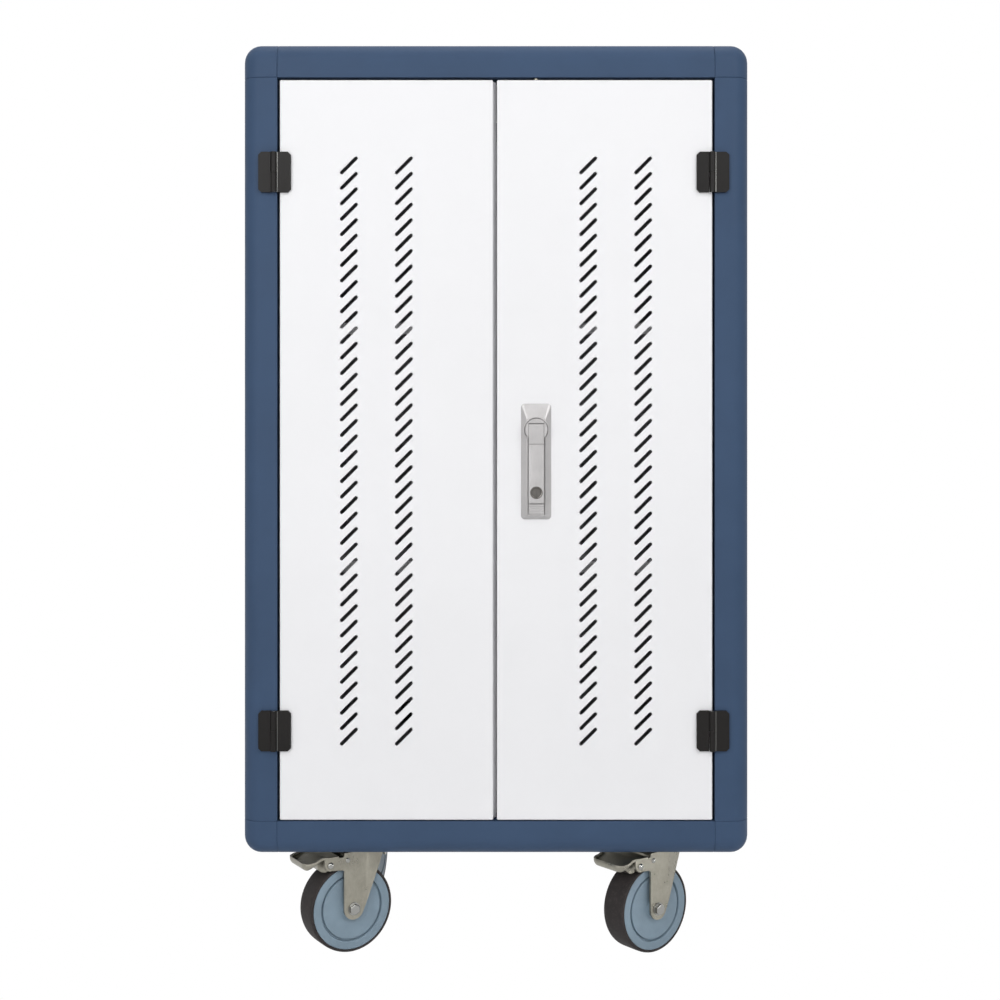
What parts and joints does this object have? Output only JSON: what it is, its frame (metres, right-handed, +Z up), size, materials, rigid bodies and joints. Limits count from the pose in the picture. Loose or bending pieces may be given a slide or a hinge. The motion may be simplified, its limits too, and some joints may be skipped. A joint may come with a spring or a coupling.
{
  "type": "charging cabinet",
  "caption": "Wheeled steel charging cabinet with vented doors, a swing handle that drives lock rods, shelves with dividers and swivel castors with brakes.",
  "frame": {"origin": "on the floor, under the middle of the cabinet", "axes": "+Z up, -Y out of the doors' faces, +X to the right as seen from the front"},
  "size_m": [0.6906, 0.5227, 1.2585],
  "materials": {
    "frame_blue": "satin",
    "door_white": "satin",
    "panel_white": "satin",
    "hinge_black": "satin",
    "pin_steel": "satin",
    "handle_silver": "satin",
    "lock_chrome": "polished",
    "zinc": "satin",
    "wheel_grey": "matte",
    "tyre_rubber": "matte",
    "black_plastic": "matte",
    "rocker_black": "gloss",
    "strip_plastic": "satin"
  },
  "bodies": {
    "cabinet": {"front_left_post": "frame_blue", "front_right_post": "frame_blue", "rear_posts": "frame_blue", "front_top_rail": "frame_blue", "front_bottom_rail": "frame_blue", "rear_rails": "frame_blue", "side_rails": "frame_blue", "corner_pieces": "frame_blue", "top_panel": "panel_white", "floor_panel": "panel_white", "left_side_panel": "panel_white", "right_side_panel": "panel_white", "rear_panel": "panel_white", "shelves": "panel_white", "dividers": "panel_white", "shelf_brackets": "pin_steel", "power_strips": "strip_plastic", "mains_inlet": "black_plastic", "switch_frame": "black_plastic", "magnet_catches": "black_plastic", "frame_hinge_leaves": "hinge_black", "hinge_pins": "pin_steel", "castor_heads": "zinc"},
    "left_door": {"left_door_panel": "door_white", "left_door_stiffener": "door_white", "left_door_hinge_leaves": "hinge_black"},
    "right_door": {"right_door_panel": "door_white", "right_door_stiffener": "door_white", "right_door_hinge_leaves": "hinge_black", "handle_base": "handle_silver", "gear_housing": "zinc", "rod_guides": "black_plastic"},
    "handle_hub": {"handle_hub": "handle_silver", "lever_pin": "pin_steel", "drive_pinion": "pin_steel"},
    "lever": {"handle_lever": "handle_silver", "lock_cylinder": "lock_chrome"},
    "key_plug": {"key_plug": "lock_chrome"},
    "release_button": {"release_button": "handle_silver"},
    "upper_rod": {"upper_lock_rod": "zinc"},
    "lower_rod": {"lower_lock_rod": "zinc"},
    "rocker": {"switch_rocker": "rocker_black"},
    "front_left_swivel": {"front_left_fork": "zinc", "front_left_castor_pins": "pin_steel"},
    "front_left_wheel": {"front_left_wheel": "wheel_grey", "front_left_tyre": "tyre_rubber"},
    "front_left_pedal": {"front_left_brake_pedal": "zinc"},
    "front_right_swivel": {"front_right_fork": "zinc", "front_right_castor_pins": "pin_steel"},
    "front_right_wheel": {"front_right_wheel": "wheel_grey", "front_right_tyre": "tyre_rubber"},
    "front_right_pedal": {"front_right_brake_pedal": "zinc"},
    "rear_left_swivel": {"rear_left_fork": "zinc", "rear_left_castor_pins": "pin_steel"},
    "rear_left_wheel": {"rear_left_wheel": "wheel_grey", "rear_left_tyre": "tyre_rubber"},
    "rear_right_swivel": {"rear_right_fork": "zinc", "rear_right_castor_pins": "pin_steel"},
    "rear_right_wheel": {"rear_right_wheel": "wheel_grey", "rear_right_tyre": "tyre_rubber"}
  },
  "joints": [
    {"name": "left_door_hinge", "type": "hinge", "parent": "cabinet", "child": "left_door", "pos_m": [-0.30175, -0.24835, 0.702], "axis": [0, 0, -1], "range_deg": [0, 180]},
    {"name": "right_door_hinge", "type": "hinge", "parent": "cabinet", "child": "right_door", "pos_m": [0.29365, -0.24835, 0.702], "axis": [0, 0, 1], "range_deg": [0, 180]},
    {"name": "handle_turn", "type": "hinge", "parent": "right_door", "child": "handle_hub", "pos_m": [0.0545, -0.24335, 0.7316], "axis": [0, -1, 0], "range_deg": [0, 90]},
    {"name": "lever_lift", "type": "hinge", "parent": "handle_hub", "child": "lever", "pos_m": [0.0545, -0.25585, 0.7371], "axis": [-1, 0, 0], "range_deg": [0, 30]},
    {"name": "key_turn", "type": "hinge", "parent": "lever", "child": "key_plug", "pos_m": [0.0545, -0.25285, 0.6466], "axis": [0, -1, 0], "range_deg": [0, 90]},
    {"name": "button_press", "type": "slide", "parent": "right_door", "child": "release_button", "axis": [0, 1, 0], "range_m": [0, 0.0025], "stiffness_N_per_m": 500},
    {"name": "upper_rod_slide", "type": "slide", "parent": "right_door", "child": "upper_rod", "axis": [0, 0, -1], "range_m": [0, 0.01257]},
    {"name": "lower_rod_slide", "type": "slide", "parent": "right_door", "child": "lower_rod", "axis": [0, 0, 1], "range_m": [0, 0.01257]},
    {"name": "switch_rock", "type": "hinge", "parent": "cabinet", "child": "rocker", "pos_m": [-0.14775, 0.25365, 0.259], "axis": [1, 0, 0], "range_deg": [-16, 0]},
    {"name": "front_left_swivel", "type": "hinge", "parent": "cabinet", "child": "front_left_swivel", "pos_m": [-0.1928, -0.15335, 0.142], "axis": [0, 0, 1], "continuous": true},
    {"name": "front_left_roll", "type": "hinge", "parent": "front_left_swivel", "child": "front_left_wheel", "pos_m": [-0.21176, -0.16452, 0.0625], "axis": [0.5075, -0.8616, 0], "continuous": true},
    {"name": "front_left_brake", "type": "hinge", "parent": "front_left_swivel", "child": "front_left_pedal", "pos_m": [-0.24364, -0.18329, 0.1285], "axis": [0.5075, -0.8616, 0], "range_deg": [0, 20]},
    {"name": "front_right_swivel", "type": "hinge", "parent": "cabinet", "child": "front_right_swivel", "pos_m": [0.2278, -0.15335, 0.142], "axis": [0, 0, 1], "continuous": true},
    {"name": "front_right_roll", "type": "hinge", "parent": "front_right_swivel", "child": "front_right_wheel", "pos_m": [0.21046, -0.16689, 0.0625], "axis": [0.6157, -0.788, 0], "continuous": true},
    {"name": "front_right_brake", "type": "hinge", "parent": "front_right_swivel", "child": "front_right_pedal", "pos_m": [0.18131, -0.18967, 0.1285], "axis": [0.6157, -0.788, 0], "range_deg": [0, 20]},
    {"name": "rear_left_swivel", "type": "hinge", "parent": "cabinet", "child": "rear_left_swivel", "pos_m": [-0.2023, 0.16665, 0.142], "axis": [0, 0, 1], "continuous": true},
    {"name": "rear_left_roll", "type": "hinge", "parent": "rear_left_swivel", "child": "rear_left_wheel", "pos_m": [-0.20422, 0.14473, 0.0625], "axis": [0.9962, -0.0872, 0], "continuous": true},
    {"name": "rear_right_swivel", "type": "hinge", "parent": "cabinet", "child": "rear_right_swivel", "pos_m": [0.2183, 0.16665, 0.142], "axis": [0, 0, 1], "continuous": true},
    {"name": "rear_right_roll", "type": "hinge", "parent": "rear_right_swivel", "child": "rear_right_wheel", "pos_m": [0.21638, 0.14473, 0.0625], "axis": [0.9962, -0.0872, 0], "continuous": true}
  ],
  "couplings": [
    {"joint": "upper_rod_slide", "follows": "handle_turn", "m_per_rad": 0.008},
    {"joint": "lower_rod_slide", "follows": "handle_turn", "m_per_rad": 0.008}
  ]
}
